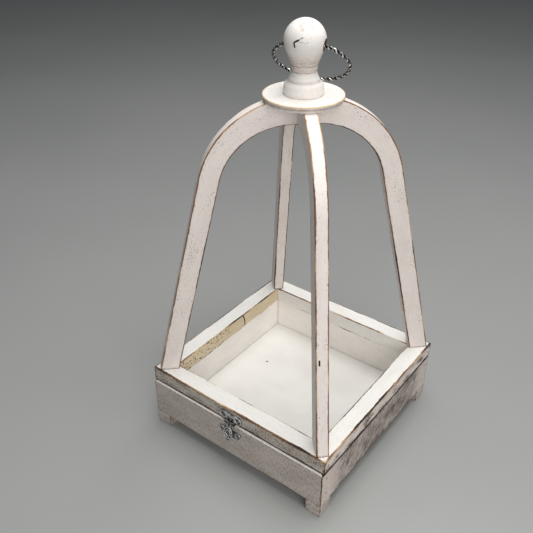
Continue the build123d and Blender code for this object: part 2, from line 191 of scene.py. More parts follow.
def section(p0, p1, q0, q1, radii, p_cuts=1, q_cuts=1):
    """Points round a rectangle with worn corners, each as p, q, its distance from the nearest corner, and
    which corner that is, counted from p0, q0 towards p1."""
    corners = ((p0, q0, 1, 1, 180), (p1, q0, -1, 1, 270), (p1, q1, -1, -1, 0), (p0, q1, 1, -1, 90))
    points = []
    for i, (p, q, p_in, q_in, start) in enumerate(corners):
        r = radii[i]
        for k in range(ARC_STEPS + 1):
            a = math.radians(start + 90 * k / ARC_STEPS)
            near = r * abs(k / ARC_STEPS - 0.5)
            points.append((p + r * (p_in + math.cos(a)), q + r * (q_in + math.sin(a)), near, i))
        next_p, next_q = corners[(i + 1) % 4][:2]
        side = math.hypot(next_p - p, next_q - q)
        cuts = (p_cuts, q_cuts)[i % 2]
        stops = [SUPPORT + (side - 2 * SUPPORT) * k / (cuts + 1) for k in range(cuts + 2)]
        for s in stops:
            share = s / side
            nearest = i if share < 0.5 else (i + 1) % 4
            points.append((p + (next_p - p) * share, q + (next_q - q) * share, min(s, side - s), nearest))
    return points


def loft_faces(rings, per_ring, closed=False):
    """Quads between neighbouring rings, with an end face at both ends of an open loft."""
    faces = []
    for i in range(rings if closed else rings - 1):
        a, b = i * per_ring, (i + 1) % rings * per_ring
        for j in range(per_ring):
            k = (j + 1) % per_ring
            faces.append((a + j, a + k, b + k, b + j))
    if not closed:
        faces.append(tuple(range(per_ring)))
        faces.append(tuple((rings - 1) * per_ring + j for j in range(per_ring)))
    return faces


def shifted(faces, base):
    """The same faces on points that start further down the list."""
    return [tuple(base + j for j in face) for face in faces]


def board(name, start, end, width, z0, z1, seed, roundness, rubbing, tans, coarse, inner_bare, **row):
    """A mitred board on the line from start to end, which are the frame's outer corners, in order
    anticlockwise. roundness is how round each arris is, rubbing how much paint it has lost, and tans how
    light its wood is, in the order outer bottom, inner bottom, inner top, outer top."""
    start, end = Vector((*start, 0)), Vector((*end, 0))
    length = (end - start).length
    along = (end - start) / length
    inward = UP.cross(along)

    def place(u, d, z):
        return start + along * u + inward * d + UP * z

    cuts = round((length - 2 * SUPPORT) / STATION)
    middle = [SUPPORT + (length - 2 * SUPPORT) * i / cuts for i in range(cuts + 1)]
    stations = [("start", f) for f in CORNER_STOPS] + [("middle", u) for u in middle]
    stations += [("end", f) for f in reversed(CORNER_STOPS)]
    points = []
    keys = ("edge", "rub", "tan", "grain", "rough", "coarse", "bare", "stain", "joint")
    values = {key: [] for key in keys}
    for kind, value in stations:
        nominal = {"start": 0.0, "middle": value, "end": length}[kind]
        corners = ((0, z0), (width, z0), (width, z1), (0, z1))
        radii = [arris(place(nominal, d, z), base) for (d, z), base in zip(corners, roundness)]
        for d, z, near, corner in section(0, width, z0, z1, radii, 2, 4):
            u, inset = nominal, 0.0
            if kind != "middle":
                r = arris(place(nominal, 0, z), CORNER_ARRIS)
                inset = r * (1 - math.sqrt(1 - (1 - value) ** 2))
                u = r * value if kind == "start" else length - r * value
            depth = inset + d * (1 - inset / width)
            u += (depth - inset) * (1 - 2 * u / length)
            from_end = min(u, length - u)
            points.append(place(u, depth, z))
            from_corner = max(0.0, math.hypot(from_end, depth) - CORNER_ARRIS)
            values["edge"].append(min(near, from_corner) * MM)
            uneven = wander(place(nominal, d, z), 30, 60)
            values["rub"].append(rubbing[corner] - 0.9 * uneven if near < from_corner else 0.3)
            values["tan"].append(tans[corner] + 0.9 * uneven)
            values["grain"].append((u + 310 * seed, depth, z))
            values["rough"].append(max(0.0, 1 - 4 * d))
            values["coarse"].append(coarse)
            values["bare"].append(inner_bare if d > width - 0.4 else 0.0)
            values["stain"].append(min(1.0, max(0.0, 1.6 - from_end / 22)))
            values["joint"].append(max(0.0, 1 - 2 * (from_end - depth)))
    per_ring = len(points) // len(stations)
    faces = loft_faces(len(stations), per_ring)
    return flatten_shading(piece(name, points, faces, values, **row))


def mitred_frame(low, high, width, name_of, seed, roundness, rubbing, tans, special, bare_side=None, **row):
    """The four boards of a mitred frame, each standing for the CAD node of its own side. special gives
    the roundness and the rubbing of a side whose arrises differ from the others'."""
    corners = ((low.x, low.y), (high.x, low.y), (high.x, high.y), (low.x, high.y))
    for i, (side, coarse) in enumerate((("front", 0.0), ("right", 1.0), ("back", 0.6), ("left", 0.2))):
        bare = 1.0 if side == bare_side else 0.0
        node = name_of(side)
        ends = (corners[i], corners[(i + 1) % 4])
        arrises = special.get(side, (roundness, rubbing))
        board(f"{node}_board", *ends, width, low.z, high.z, seed + i, *arrises, tans, coarse, bare,
              replaced=[node], **row)


def foot(node, **row):
    """A square block under one corner of the tray, worn round at the bottom."""
    low, high = box_mm(node)
    corners = ((low.x, low.y), (high.x, low.y), (high.x, high.y), (low.x, high.y))
    points = []
    even = {"rub": 0.25, "tan": 0.2, "rough": 1.0, "coarse": 0.3, "stain": 0.3}
    edges, grain = [], []
    turns = [math.pi / 2 * k / 4 for k in range(5)]
    heights = [(FOOT_ROUND * (1 - math.cos(a)), FOOT_ROUND * (1 - math.sin(a))) for a in turns]
    heights += [((high.z - low.z) * k / 5, 0.0) for k in range(1, 6)]
    for rise, inset in heights:
        z = low.z + rise
        radii = [arris((x, y, z), FOOT_ARRIS) for x, y in corners]
        ring = section(low.x + inset, high.x - inset, low.y + inset, high.y - inset, radii, 3, 3)
        for x, y, near, _ in ring:
            points.append((x, y, z))
            edges.append(min(near, rise + 0.2) * MM)
            grain.append((x + y + 190, x - y, z))
    values = {key: [number] * len(points) for key, number in even.items()}
    values.update(edge=edges, grain=grain)
    per_ring = len(points) // len(heights)
    faces = loft_faces(len(heights), per_ring)
    return flatten_shading(piece(f"{node}_block", points, faces, values, replaced=[node], **row))


def leg_edge(foot_reach, radius, crown):
    """One edge of a leg: its straight run's two ends, and the centre of the arc that follows it."""
    centre_z = crown - radius
    run = (centre_z - LID_TOP + radius * math.sin(LEG_LEAN)) / math.cos(LEG_LEAN)
    centre_r = foot_reach - radius * math.cos(LEG_LEAN) - run * math.sin(LEG_LEAN)
    top = (foot_reach - run * math.sin(LEG_LEAN), LID_TOP + run * math.cos(LEG_LEAN))
    return (foot_reach, LID_TOP), top, (centre_r, centre_z)


def leg_stations():
    """Pairs of points on a leg's outer and inner edges, in its plane, from its foot to the cap's axis."""
    inner_reach = LEG_FOOT_REACH - LEG_BAND / math.cos(LEG_LEAN)
    outer_foot, outer_top, outer_mid = leg_edge(LEG_FOOT_REACH, LEG_OUTER_RADIUS, LEG_OUTER_CROWN)
    inner_foot, inner_top, inner_mid = leg_edge(inner_reach, LEG_INNER_RADIUS, LEG_UNDERSIDE)
    seat_angle = math.asin((CAP_SEAT - outer_mid[1]) / LEG_OUTER_RADIUS)
    seat_reach = outer_mid[0] + LEG_OUTER_RADIUS * math.cos(seat_angle)

    def between(a, b, share):
        return (a[0] + (b[0] - a[0]) * share, a[1] + (b[1] - a[1]) * share)

    def on_arc(mid, radius, end_angle, share):
        angle = LEG_LEAN + (end_angle - LEG_LEAN) * share
        return (mid[0] + radius * math.cos(angle), mid[1] + radius * math.sin(angle))

    straight, curved, level = 84, 38, 8
    pairs = []
    for i in range(straight):
        share = i / straight
        pairs.append((between(outer_foot, outer_top, share), between(inner_foot, inner_top, share)))
    for i in range(curved):
        share = i / curved
        outer = on_arc(outer_mid, LEG_OUTER_RADIUS, seat_angle, share)
        pairs.append((outer, on_arc(inner_mid, LEG_INNER_RADIUS, math.pi / 2, share)))
    for i in range(level + 1):
        share = i / level
        outer = between((seat_reach, CAP_SEAT), (0, CAP_SEAT), share)
        pairs.append((outer, between((inner_mid[0], LEG_UNDERSIDE), (0, LEG_UNDERSIDE), share)))
    return pairs


def leg(node, turn, seed, **row):
    """An arched leg: a board cut to a band between two edges, mitred to its neighbours at the axis."""
    outward = Vector((math.cos(turn), math.sin(turn), 0))
    sideways = UP.cross(outward)
    pairs = leg_stations()
    points = []
    values = {key: [] for key in ("edge", "rub", "tan", "grain", "stain")}
    travelled = 0.0
    half = LEG_THICK / 2
    previous = None
    for outer, inner in pairs:
        band = math.hypot(outer[0] - inner[0], outer[1] - inner[1])
        middle = ((outer[0] + inner[0]) / 2, (outer[1] + inner[1]) / 2)
        if previous:
            travelled += math.hypot(middle[0] - previous[0], middle[1] - previous[1])
        previous = middle

        def place(s, v):
            share = s / band
            r = outer[0] + (inner[0] - outer[0]) * share
            z = outer[1] + (inner[1] - outer[1]) * share
            return AXIS + outward * max(r, abs(v)) + sideways * v + UP * z

        corners = ((0, -half), (band, -half), (band, half), (0, half))
        radii = [arris(place(s, v), LEG_ARRIS) for s, v in corners]
        low_down = max(0.0, 1 - travelled / 120)
        for s, v, near, _ in section(0, band, -half, half, radii, 4, 1):
            points.append(place(s, v))
            values["edge"].append(near * MM)
            uneven = wander(place(s, v), 40, 80)
            values["rub"].append(0.75 + 0.25 * low_down - 0.6 * uneven)
            values["tan"].append((0.36 if s < band / 2 else 0.14) + 0.4 * uneven)
            values["grain"].append((travelled + 430 * seed, s, v))
            values["stain"].append(0.5 + max(0.0, 1 - near / 4))
    per_ring = len(points) // len(pairs)
    faces = loft_faces(len(pairs), per_ring)
    return flatten_shading(piece(f"{node}_board", points, faces, values, replaced=[node], **row))


def arc(centre_r, centre_z, radius, start, end, steps):
    """Profile points on an arc, by angles in degrees from the outward direction."""
    angles = [math.radians(start + (end - start) * k / steps) for k in range(steps + 1)]
    return [(centre_r + radius * math.cos(a), centre_z + radius * math.sin(a)) for a in angles]


def turned(name, profile, steps, edge_of, roughen, grime_and_shade_of, rubbing, **row):
    """A turned piece about the cap's axis, from a profile of radius and height that starts and ends at
    the axis. edge_of gives a profile point's distance from its nearest worn edge, roughen how ragged it
    is, grime_and_shade_of how soiled it is and how much painted shade it takes, and rubbing how worn the
    edges are."""
    points = []
    values = {key: [] for key in ("edge", "rub", "tan", "grain", "stain", "grime")}
    for r, z in profile:
        for k in range(steps):
            a = 2 * math.pi * k / steps
            at = AXIS + Vector((r * math.cos(a), r * math.sin(a), z))
            ragged = roughen(r, z) * (0.5 + 0.5 * wander(at, 2.2, 11))
            reach = max(0.0, r - ragged)
            points.append(AXIS + Vector((reach * math.cos(a), reach * math.sin(a), z)))
            values["edge"].append(edge_of(r, z) * MM)
            values["rub"].append(rubbing)
            values["tan"].append(0.9)
            values["grain"].append((z * 2 + 900, at.x, at.y))
            values["stain"].append(0.15)
            values["grime"].append(grime_and_shade_of(r, z))
    faces = []
    for i in range(len(profile) - 1):
        for k in range(steps):
            m = (k + 1) % steps
            faces.append((i * steps + k, i * steps + m, (i + 1) * steps + m, (i + 1) * steps + k))
    return piece(name, points, faces, values, **row)


# Shader nodes


class Shader:
    """A material's node tree, with short calls for the nodes that it needs."""

    def __init__(self, name):
        self.material = bpy.data.materials.new(name)
        self.material.use_nodes = True
        self.tree = self.material.node_tree
        self.tree.nodes.clear()
        self.surface = self.tree.nodes.new("ShaderNodeBsdfPrincipled")
        output = self.tree.nodes.new("ShaderNodeOutputMaterial")
        self.tree.links.new(self.surface.outputs[0], output.inputs[0])

    def put(self, socket, value):
        if isinstance(value, bpy.types.NodeSocket):
            self.tree.links.new(value, socket)
        else:
            socket.default_value = value

    def attribute(self, name, output="Fac"):
        node = self.tree.nodes.new("ShaderNodeAttribute")
        node.attribute_name = name
        return node.outputs[output]

    def object_place(self):
        return self.tree.nodes.new("ShaderNodeTexCoord").outputs["Object"]

    def math(self, kind, a, b=0.0, c=0.0):
        node = self.tree.nodes.new("ShaderNodeMath")
        node.operation = kind
        for socket, value in zip(node.inputs, (a, b, c)):
            self.put(socket, value)
        return node.outputs[0]

    def add(self, a, b):
        return self.math("ADD", a, b)

    def times(self, a, b, plus=None):
        return self.math("MULTIPLY", a, b) if plus is None else self.math("MULTIPLY_ADD", a, b, plus)

    def invert(self, value):
        return self.math("SUBTRACT", 1.0, value)

    def vector(self, kind, a, b=(0, 0, 0), scale=1.0):
        node = self.tree.nodes.new("ShaderNodeVectorMath")
        node.operation = kind
        self.put(node.inputs[0], a)
        self.put(node.inputs[1], b)
        if kind == "SCALE":
            self.put(node.inputs[3], scale)
        return node.outputs["Value"] if kind in ("LENGTH", "DOT_PRODUCT") else node.outputs["Vector"]

    def stretch(self, place, x, y, z):
        return self.vector("MULTIPLY", place, (x, y, z))

    def join(self, x, y, z):
        node = self.tree.nodes.new("ShaderNodeCombineXYZ")
        for socket, value in zip(node.inputs, (x, y, z)):
            self.put(socket, value)
        return node.outputs[0]

    def part(self, place, axis):
        node = self.tree.nodes.new("ShaderNodeSeparateXYZ")
        self.put(node.inputs[0], place)
        return node.outputs[axis]

    def noise(self, place, scale=1.0, detail=2.0, rough=0.5, warp=0.0):
        node = self.tree.nodes.new("ShaderNodeTexNoise")
        self.put(node.inputs["Vector"], place)
        node.inputs["Scale"].default_value = scale
        node.inputs["Detail"].default_value = detail
        node.inputs["Roughness"].default_value = rough
        node.inputs["Distortion"].default_value = warp
        return node.outputs["Fac"]

    def fade(self, value, low, high, first=0.0, last=1.0):
        """Smoothly from first at low to last at high."""
        node = self.tree.nodes.new("ShaderNodeMapRange")
        node.interpolation_type = "SMOOTHSTEP"
        for key, number in (("Value", value), ("From Min", low), ("From Max", high)):
            self.put(node.inputs[key], number)
        node.inputs["To Min"].default_value = first
        node.inputs["To Max"].default_value = last
        return node.outputs["Result"]

    def mix(self, share, a, b):
        node = self.tree.nodes.new("ShaderNodeMix")
        node.data_type = "RGBA"
        self.put(node.inputs[0], share)
        for socket, colour in ((node.inputs[6], a), (node.inputs[7], b)):
            self.put(socket, colour if isinstance(colour, bpy.types.NodeSocket) else (*colour, 1))
        return node.outputs[2]

    def path_distance(self, place, points):
        """The distance from a line through a few points, in metres."""
        nearest = None
        for a, b in zip(points, points[1:]):
            run = Vector(b) - Vector(a)
            offset = self.vector("SUBTRACT", place, tuple(a))
            share = self.vector("DOT_PRODUCT", offset, tuple(run / run.length_squared))
            share = self.math("MINIMUM", self.math("MAXIMUM", share, 0.0), 1.0)
            foot = self.vector("SCALE", tuple(run), scale=share)
            distance = self.vector("LENGTH", self.vector("SUBTRACT", offset, foot))
            nearest = self.math("MINIMUM", nearest, distance) if nearest else distance
        return nearest

    def bump(self, heights):
        """Surface relief from pairs of a height from 0 to 1 and its depth in metres."""
        normal = None
        for height, depth in heights:
            node = self.tree.nodes.new("ShaderNodeBump")
            self.put(node.inputs["Height"], height)
            node.inputs["Distance"].default_value = depth
            node.inputs["Strength"].default_value = 1.0
            if normal:
                self.put(node.inputs["Normal"], normal)
            normal = node.outputs[0]
        self.put(self.surface.inputs["Normal"], normal)

    def finish(self, colour, roughness, metallic=0.0):
        self.put(self.surface.inputs["Base Color"], colour)
        self.put(self.surface.inputs["Roughness"], roughness)
        self.surface.inputs["Metallic"].default_value = metallic
        return self.material


# Colours. A pair is the two shades that one surface varies between.

WOOD = (0.23, 0.115, 0.055)
# Near-black worn wood, which on the seam's arrises is also painted shadow of the gap under the lid.
DARK_WOOD_AND_SEAM_SHADOW = (0.052, 0.029, 0.018)
TAN_WOOD = (0.60, 0.40, 0.20)
PALE_WOOD = (0.80, 0.63, 0.38)
# Unpainted wood in the ring hole, darkened as painted shade inside the bore.
RAW_WOOD_AND_SHADE = (0.16, 0.085, 0.045)
BARE_FACE = ((0.76, 0.66, 0.47), (0.64, 0.52, 0.34))
CHIPPED_FACE = (0.66, 0.54, 0.39)
SPECK = (0.045, 0.028, 0.018)
PINHOLE = (0.085, 0.055, 0.040)
# The finial's soiling colour, also used for painted shade under its ball.
GRIME_AND_SHADE = (0.38, 0.27, 0.21)

SAWN_GREY = ((0.55, 0.50, 0.45), (0.49, 0.44, 0.395))
SAWN_PINK = ((0.55, 0.485, 0.44), (0.48, 0.42, 0.38))
SAWN_END = (0.72, 0.63, 0.575)
SAWN_HATCH = (0.17, 0.13, 0.105)
SAWN_DASH = (0.10, 0.066, 0.050)
SAWN_MISS = (0.08, 0.052, 0.036)
RAIL_GREY = ((0.55, 0.50, 0.435), (0.42, 0.375, 0.32))
RAIL_PINK = ((0.84, 0.75, 0.685), (0.74, 0.655, 0.595))
RAIL_FLECK = (0.070, 0.045, 0.032)

BOARD_WHITE = ((0.94, 0.91, 0.87), (0.85, 0.80, 0.75))
RAIL_WHITE = ((0.86, 0.85, 0.82), (0.79, 0.765, 0.72))
LEG_WHITE = ((0.86, 0.80, 0.765), (0.78, 0.71, 0.665))
TURNING_WHITE = ((0.86, 0.84, 0.81), (0.78, 0.74, 0.70))
PANEL_WHITE = ((0.80, 0.79, 0.76), (0.72, 0.705, 0.67))
PANEL_BRUSH = (0.66, 0.63, 0.58)
PANEL_DENT = (0.42, 0.40, 0.37)
NAIL_HOLE = (0.05, 0.045, 0.04)

RAIL_CRACK_DARK = (0.012, 0.010, 0.008)
LEG_NICK_DARK = (0.015, 0.010, 0.008)
BALL_CRACK_DARK = (0.030, 0.018, 0.013)

SATIN = 0.35


def painted_wood(name, white, wear_width, wear_share, ragged_share, rough_face=None, marks=None):
    """White paint over brown wood: faint blotches and lengthwise brush streaks, paint rubbed off the
    arrises, and specks where it missed. The worn band is wear_width metres times rub plus wear_share,
    give or take half of ragged_share. rough_face and marks add a rough-sawn face's and one piece's own
    colour and relief."""
    s = Shader(name)
    grain = s.attribute("grain", "Vector")
    edge = s.attribute("edge")
    stain = s.attribute("stain")
    blotch = s.noise(s.stretch(grain, 28, 70, 70), detail=4, rough=0.6)
    streak = s.noise(s.stretch(grain, 60, 1300, 1300), detail=3, rough=0.65)
    fibre = s.noise(s.stretch(grain, 230, 4200, 4200), detail=2)
    speck = s.noise(s.stretch(grain, 420, 1500, 1500), detail=2, rough=0.6)
    pore = s.noise(s.stretch(grain, 420, 950, 950), detail=2, rough=0.7)
    tint = s.times(streak, 0.5, plus=s.times(blotch, 0.6))
    colour = s.mix(s.fade(tint, 0.46, 0.78), *white)
    colour = s.mix(s.times(s.fade(pore, 0.52, 0.74), 0.16), colour, WOOD)
    missed = s.fade(s.times(stain, 0.05, plus=speck), 0.70, 0.76)
    colour = s.mix(s.times(missed, 0.75), colour, WOOD)
    heights = [(streak, 0.00008), (fibre, 0.00004), (pore, 0.00008), (s.invert(missed), 0.00015)]

    # The bare face and the rough face.
    bare = s.times(s.attribute("bare"), s.fade(blotch, 0.22, 0.30))
    plain = s.mix(s.fade(streak, 0.3, 0.7), *BARE_FACE)
    colour = s.mix(bare, colour, plain)
    if rough_face:
        colour, more = rough_face(s, grain, edge, s.attribute("rough"), colour)
        heights += more

    # Paint worn off along the arrises, in an uneven band that breaks up into nicks.
    ragged = s.noise(s.stretch(grain, 110, 300, 300), detail=5, rough=0.75)
    reach = s.math("DIVIDE", edge, wear_width)
    start = s.add(s.attribute("rub"), wear_share - ragged_share / 2)
    worn = s.math("SUBTRACT", s.times(ragged, ragged_share, plus=start), reach)
    rubbed = s.fade(worn, -0.12, 0.16)
    patchy = s.noise(s.stretch(grain, 70, 500, 500), detail=3)
    tone = s.times(patchy, 1.2, plus=s.attribute("tan"))
    wood = s.mix(s.fade(tone, 0.55, 0.80), DARK_WOOD_AND_SEAM_SHADOW, WOOD)
    wood = s.mix(s.fade(tone, 0.90, 1.15), wood, TAN_WOOD)
    wood = s.mix(s.fade(tone, 1.25, 1.50), wood, PALE_WOOD)
    colour = s.mix(rubbed, colour, wood)
    heights.append((s.invert(rubbed), 0.00018))

    # Dirt in the mitres.
    joint = s.fade(s.attribute("joint"), 0.35, 0.9)
    colour = s.mix(s.times(joint, 0.75), colour, DARK_WOOD_AND_SEAM_SHADOW)

    if marks:
        colour, more = marks(s, grain, colour)
        heights += more
    s.bump(heights)
    roughness = s.times(rubbed, 0.22, plus=s.times(streak, 0.16, plus=0.46))
    s.surface.inputs["Specular IOR Level"].default_value = SATIN
    return s.finish(colour, roughness)


def saw_marks(s, grain, edge, rough, colour):
    """Thin paint on a sawn face: a fine upright hatch all over, and on coarse boards slanting dashes,
    which fade towards the board's ends."""
    coarse = s.attribute("coarse")
    depth = s.part(grain, "Y")
    z = s.part(grain, "Z")
    plain_end = s.attribute("stain")
    lean = s.times(s.times(coarse, 0.8), z)
    across = s.math("SUBTRACT", s.part(grain, "X"), lean)
    lines = s.stretch(s.join(across, z, depth), 470, 105, 200)
    dash = s.noise(lines, detail=2, rough=0.6, warp=0.3)
    fine = s.noise(s.stretch(s.join(across, z, depth), 1050, 260, 1), detail=4, rough=0.75)
    crowd = s.noise(s.stretch(grain, 26, 60, 60), detail=3, rough=0.6)
    chipped = s.fade(edge, 0.0004, 0.0030, 0.10, 0.0)
    cut = s.add(s.times(crowd, 0.35, plus=dash), chipped)
    sparse = s.times(plain_end, -0.22, plus=cut)
    show = s.times(s.fade(sparse, 0.680, 0.715), s.times(coarse, rough))
    smooth_end = s.times(plain_end, coarse)
    hatched = s.times(rough, s.times(smooth_end, -0.6, plus=1.0))
    faint = s.times(s.fade(s.times(crowd, 0.18, plus=fine), 0.56, 0.70), hatched)
    missed = s.times(s.fade(s.add(fine, chipped), 0.63, 0.68), rough)
    grey = s.mix(s.fade(crowd, 0.35, 0.65), *SAWN_GREY)
    pink = s.mix(s.fade(crowd, 0.35, 0.65), *SAWN_PINK)
    pink = s.mix(plain_end, pink, SAWN_END)
    colour = s.mix(s.times(rough, 0.9), colour, s.mix(coarse, grey, pink))
    colour = s.mix(s.times(faint, 0.58), colour, SAWN_HATCH)
    colour = s.mix(s.times(show, 0.86), colour, SAWN_DASH)
    colour = s.mix(s.times(missed, 0.80), colour, SAWN_MISS)
    groove = s.times(s.times(show, -0.8, plus=s.times(fine, 0.6)), rough)
    return colour, [(groove, 0.00028)]


def mottle(s, grain, edge, rough, colour):
    """Thin paint on a rough edge face: brown shows in small flecks all over, closer together near the
    arrises, and on coarse boards in clusters of dots."""
    coarse = s.attribute("coarse")
    fleck = s.noise(s.stretch(grain, 620, 820, 820), detail=3, rough=0.7)
    patch = s.noise(s.stretch(grain, 55, 150, 150), detail=3)
    chipped = s.fade(edge, 0.0004, 0.0030, 0.09, 0.0)
    gather = s.times(coarse, 0.70, plus=0.28)
    cut = s.add(s.times(patch, gather, plus=fleck), chipped)
    level = s.times(coarse, 0.375, plus=0.670)
    show = s.times(s.fade(s.math("SUBTRACT", cut, level), 0.0, 0.05), rough)
    grey = s.mix(s.fade(patch, 0.35, 0.65), *RAIL_GREY)
    pink = s.mix(s.fade(patch, 0.35, 0.65), *RAIL_PINK)
    colour = s.mix(s.times(rough, 0.9), colour, s.mix(coarse, grey, pink))
    colour = s.mix(s.times(show, 0.88), colour, RAIL_FLECK)
    return colour, [(s.times(fleck, rough), 0.00035)]


def rail_marks(s, grain, colour):
    """The left rail's bare inner face: dark specks at its front, and one curved crack."""
    place = s.object_place()
    speck = s.noise(s.stretch(place, 560, 520, 600), detail=1, rough=0.5)
    front = s.fade(s.part(place, "Y"), -0.014, 0.006, 1.0, 0.0)
    dots = s.times(s.fade(speck, 0.615, 0.640), s.times(front, s.attribute("bare")))
    colour = s.mix(dots, colour, SPECK)
    line = s.path_distance(place, RAIL_CRACK)
    crack = s.fade(line, 0.00060, 0.00095, 1.0, 0.0)
    colour = s.mix(crack, colour, RAIL_CRACK_DARK)
    return colour, [(s.invert(crack), 0.0006), (s.invert(dots), 0.0002)]


def leg_marks(s, grain, colour):
    """Loose clusters of dark pinholes, and one small deep nick in the near leg's outer face."""
    gather = s.noise(s.stretch(grain, 26, 90, 90), detail=2)
    hole = s.noise(s.stretch(grain, 520, 900, 900), detail=2, rough=0.6)
    pin = s.times(s.fade(gather, 0.55, 0.66), s.fade(hole, 0.60, 0.65))
    colour = s.mix(s.times(pin, 0.85), colour, PINHOLE)
    line = s.path_distance(s.object_place(), LEG_NICK)
    nick = s.fade(line, 0.0005, 0.0009, 1.0, 0.0)
    return s.mix(nick, colour, LEG_NICK_DARK), [(s.invert(nick), 0.0006)]


def turning_marks(s, grain, colour):
    """Darker grooves and painted shade under the finial's ball, the ball's crack and tan chips, and the ring
    hole's unpainted mouth, darkened as painted shade.
    """
    place = s.object_place()
    # Darker in the grooves, the joints and round the finial's foot, with painted shade under the ball and
    # over the bead below it, in patches.
    patchiness = s.noise(s.stretch(place, 300, 300, 900), detail=4, rough=0.7)
    darkened = s.times(s.attribute("grime"), s.fade(patchiness, 0.25, 0.55))
    colour = s.mix(s.times(darkened, 0.8), colour, GRIME_AND_SHADE)

    shake = s.noise(place, 900, detail=3, rough=0.7)
    wobble = s.times(shake, 0.0010, plus=-0.0005)

    def split(path, narrow, wide, dark):
        return s.fade(s.add(s.path_distance(place, path), wobble), narrow, wide, dark, 0.0)

    thin = split(BALL_CRACK, 0.00012, 0.00042, 1.0)
    thick = split(BALL_CRACK[1:], 0.00042, 0.00078, 1.0)
    hair = split(BALL_HAIR, 0.00010, 0.00040, 0.35)
    crack = s.math("MAXIMUM", s.math("MAXIMUM", s.times(thin, 0.75), thick), hair)
    colour = s.mix(crack, colour, BALL_CRACK_DARK)
    ragged = s.noise(place, 380, detail=4, rough=0.7)
    spread = s.times(ragged, 0.0090, plus=-0.0045)
    chips = s.math("MINIMUM", s.path_distance(place, BALL_CHIPS[:3]), s.path_distance(place, BALL_CHIPS[3:]))
    chip = s.fade(s.add(chips, spread), 0.0004, 0.0014, 1.0, 0.0)
    colour = s.mix(s.times(chip, 0.55), colour, CHIPPED_FACE)

    # The ring hole's mouth and bore: unpainted wood, whose dark brown is partly painted shade inside the
    # bore.
    axis = (ring_pivot - ring_axis * 0.03, ring_pivot + ring_axis * 0.03)
    mouth = s.add(s.path_distance(place, axis), s.times(spread, 0.30))
    bore_mask = s.fade(mouth, RING_HOLE_RADIUS * MM, (RING_HOLE_RADIUS + 1.0) * MM, 1.0, 0.0)
    colour = s.mix(bore_mask, colour, RAW_WOOD_AND_SHADE)
    return colour, [(s.invert(crack), 0.0005), (s.invert(chip), 0.0002)]


def metal(name, bright, dark, roughness, recess=None, tarnish=0.4):
    """Metal that is bright where it is handled and dark in its hollows."""
    s = Shader(name)
    place = s.object_place()
    cloud = s.noise(place, 420, detail=4, rough=0.7)
    grit = s.noise(place, 2600, detail=3, rough=0.7)
    shade = s.times(s.fade(cloud, 0.42, 0.62), tarnish)
    if recess:
        hollow = s.times(cloud, 0.6, plus=s.attribute(recess))
        shade = s.math("MAXIMUM", shade, s.fade(hollow, 0.48, 0.86))
    colour = s.mix(shade, bright, dark)
    s.bump([(cloud, 0.00008), (grit, 0.00003)])
    gloss = s.times(shade, 0.30, plus=s.times(grit, 0.12, plus=roughness))
    return s.finish(colour, gloss, metallic=1.0)


def panel_paint(name):
    """The smooth white floor panel, with faint brush lines and one small nail hole."""
    s = Shader(name)
    place = s.object_place()
    blotch = s.noise(s.stretch(place, 14, 20, 20), detail=4)
    brush = s.noise(s.stretch(place, 30, 900, 900), detail=2)
    grit = s.noise(place, 1500, detail=2)
    colour = s.mix(s.fade(blotch, 0.35, 0.7), *PANEL_WHITE)
    colour = s.mix(s.times(s.fade(brush, 0.5, 0.75), 0.25), colour, PANEL_BRUSH)
    from_nail = s.vector("LENGTH", s.vector("SUBTRACT", place, tuple(FLOOR_NAIL)))
    sunk = s.fade(from_nail, 0.0011, 0.0016, 1.0, 0.0)
    colour = s.mix(s.times(sunk, 0.6), colour, PANEL_DENT)
    colour = s.mix(s.fade(from_nail, 0.0005, 0.0009, 1.0, 0.0), colour, NAIL_HOLE)
    s.bump([(brush, 0.00005), (grit, 0.00003), (s.invert(sunk), 0.0005)])
    s.surface.inputs["Specular IOR Level"].default_value = SATIN
    return s.finish(colour, s.times(blotch, 0.2, plus=0.38))


def on_ball(turn, rise):
    """A point on the ball, from its angle about the axis and its angle above the middle, in metres."""
    turn, rise = math.radians(turn), math.radians(rise)
    outward = Vector((math.cos(turn) * math.cos(rise), math.sin(turn) * math.cos(rise), math.sin(rise)))
    return (AXIS + UP * BALL_Z + outward * BALL_RADIUS) * MM


def places(*points):
    """Points given in millimetres, in metres."""
    return [Vector(at) * MM for at in points]


BALL_CRACK = [on_ball(*at) for at in ((-62, 20), (-73.6, 13.3), (-86.2, 5.6), (-83.5, -5.0))]
BALL_HAIR = [on_ball(*at) for at in ((-78, 8), (-66, 9), (-55, 5), (-47, 8))]
BALL_CHIPS = [on_ball(*at) for at in ((-61, 60), (-76, 53), (-66, 38), (-30, 46), (-26, 45))]
RAIL_CRACK = places((-83.2, 19.5, 69.6), (-83.2, 21.6, 64.0), (-83.2, 22.8, 59.5), (-83.2, 22.6, 54.6))
LEG_NICK = places((78.8, -81.4, 158.0), (79.4, -82.0, 154.2))
FLOOR_NAIL = Vector((-51.5, 21.0, 19.6)) * MM

